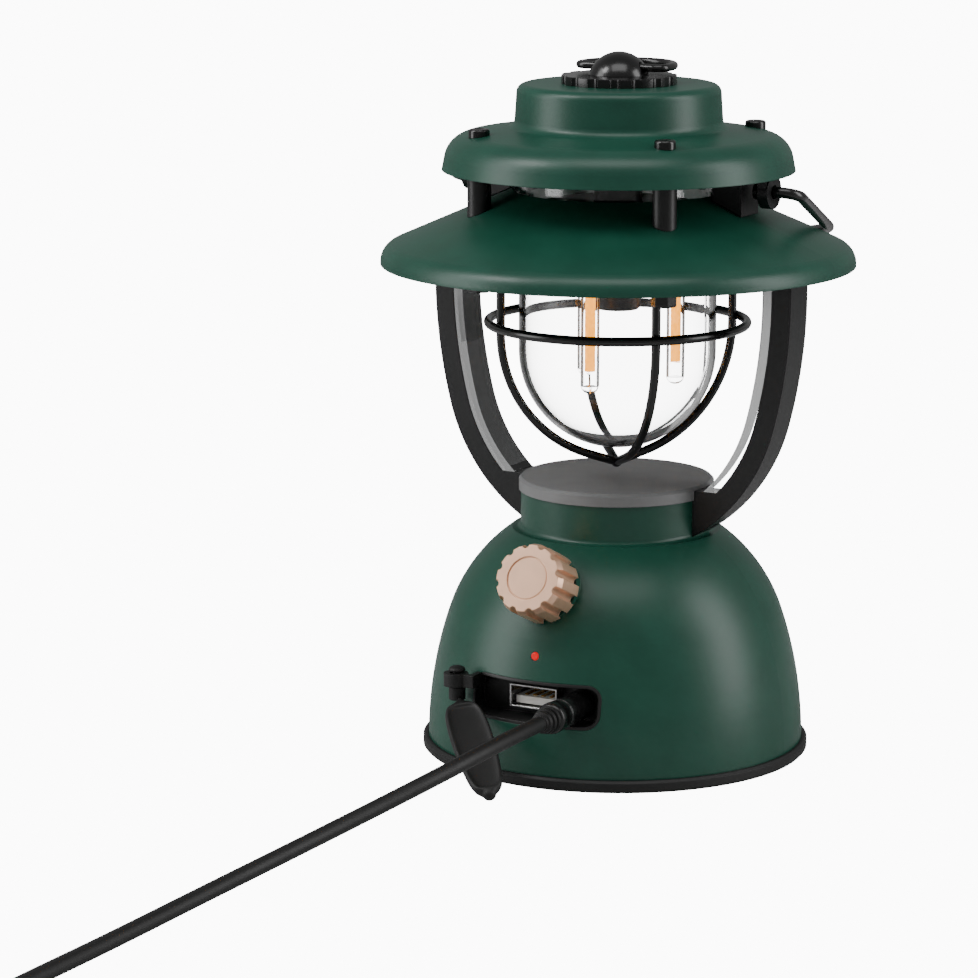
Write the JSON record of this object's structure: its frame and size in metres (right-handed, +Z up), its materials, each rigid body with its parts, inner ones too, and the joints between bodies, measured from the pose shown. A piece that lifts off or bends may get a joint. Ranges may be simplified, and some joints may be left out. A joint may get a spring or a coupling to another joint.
{
  "type": "camping lantern",
  "caption": "Rechargeable camping lantern with a domed base, curved arms, conical brim, vented hood, caged glass globe, turning control knob, folding wire bail and a plugged-in charging lead.",
  "frame": {"origin": "centre of the tripod thread at the underside, on the floor plane and on the vertical axis of the lantern", "axes": "+Z up; -Y is the front with the control knob and the ports; the arms and the bail pivots are at +X and -X"},
  "size_m": [0.146, 0.3819, 0.1783],
  "materials": {
    "green_paint": "satin powder coat",
    "black_paint": "satin powder coat",
    "black_gloss": "gloss enamel",
    "grey_cap": "satin",
    "black_rubber": "matte",
    "black_plastic": "fine texture",
    "steel": "bright",
    "brass": "bright",
    "cell_wrap": "gloss",
    "board": "satin",
    "white_plastic": "satin",
    "red_lens": "clear red",
    "bronze": "bronze anodised",
    "clear_acrylic": "clear",
    "globe_glass": "clear",
    "filament": "phosphor yellow",
    "cord_jacket": "satin",
    "plug_plastic": "gloss"
  },
  "bodies": {
    "lantern": {"arm_screws": "steel", "base_shell": "green_paint", "battery_cells": "cell_wrap", "battery_cradle": "black_plastic", "bottom_cover": "black_plastic", "bottom_screws": "steel", "brim": "green_paint", "charge_jack": "black_plastic", "cord_coil": "cord_jacket", "cord_run": "cord_jacket", "cord_tail": "cord_jacket", "cord_tie": "black_rubber", "cover_tether": "black_rubber", "driver_board": "board", "encoder": "black_plastic", "far_plug_body": "plug_plastic", "far_plug_shell": "steel", "far_relief": "cord_jacket", "filament_tubes": "globe_glass", "filaments": "filament", "foot_ring": "black_rubber", "glass_globe": "globe_glass", "globe_gasket": "black_rubber", "guard_nuts": "black_gloss", "hood": "green_paint", "hood_screws": "black_gloss", "indicator_lens": "red_lens", "lamp_carrier": "black_plastic", "lamp_core": "black_plastic", "lamp_stem": "black_plastic", "left_arm": "black_paint", "left_bail_lug": "black_paint", "left_hood_block": "black_paint", "left_light_guide": "clear_acrylic", "lower_posts": "black_paint", "main_board": "board", "neck_cap": "grey_cap", "neck_screws": "steel", "plug_body": "plug_plastic", "plug_collar": "cord_jacket", "plug_tip": "steel", "port_tray": "black_plastic", "right_arm": "black_paint", "right_bail_lug": "black_paint", "right_hood_block": "black_paint", "right_light_guide": "clear_acrylic", "top_dome": "black_gloss", "top_washer": "black_gloss", "tripod_insert": "brass", "upper_posts": "black_paint", "usb_contacts": "brass", "usb_shell": "steel", "usb_tongue": "white_plastic", "wire_guard": "black_gloss"},
    "bail": {"bail": "black_gloss"},
    "hang_ring": {"hang_ring": "black_gloss"},
    "plunger": {"encoder_plunger": "white_plastic"},
    "knob": {"control_knob": "bronze", "knob_shaft": "steel"},
    "port_cover": {"port_cover": "black_rubber"}
  },
  "joints": [
    {"name": "bail_swing", "type": "hinge", "parent": "lantern", "child": "bail", "pos_m": [0, 0, 0.1455], "axis": [1, 0, 0], "range_deg": [0, 214]},
    {"name": "ring_fold", "type": "hinge", "parent": "lantern", "child": "hang_ring", "pos_m": [0, 0, 0.1745], "axis": [1, 0, 0], "range_deg": [0, 180]},
    {"name": "knob_press", "type": "slide", "parent": "lantern", "child": "plunger", "axis": [0, 0.9135, -0.4067], "range_m": [0, 0.0005], "stiffness_N_per_m": 400, "springref_m": -0.0005},
    {"name": "knob_turn", "type": "hinge", "parent": "plunger", "child": "knob", "pos_m": [0, -0.03818, 0.0485], "axis": [0, -0.9135, 0.4067], "continuous": true},
    {"name": "cover_swing", "type": "hinge", "parent": "lantern", "child": "port_cover", "pos_m": [-0.0212, -0.046, 0.0244], "axis": [0, 0, 1], "range_deg": [-95, 0]}
  ]
}
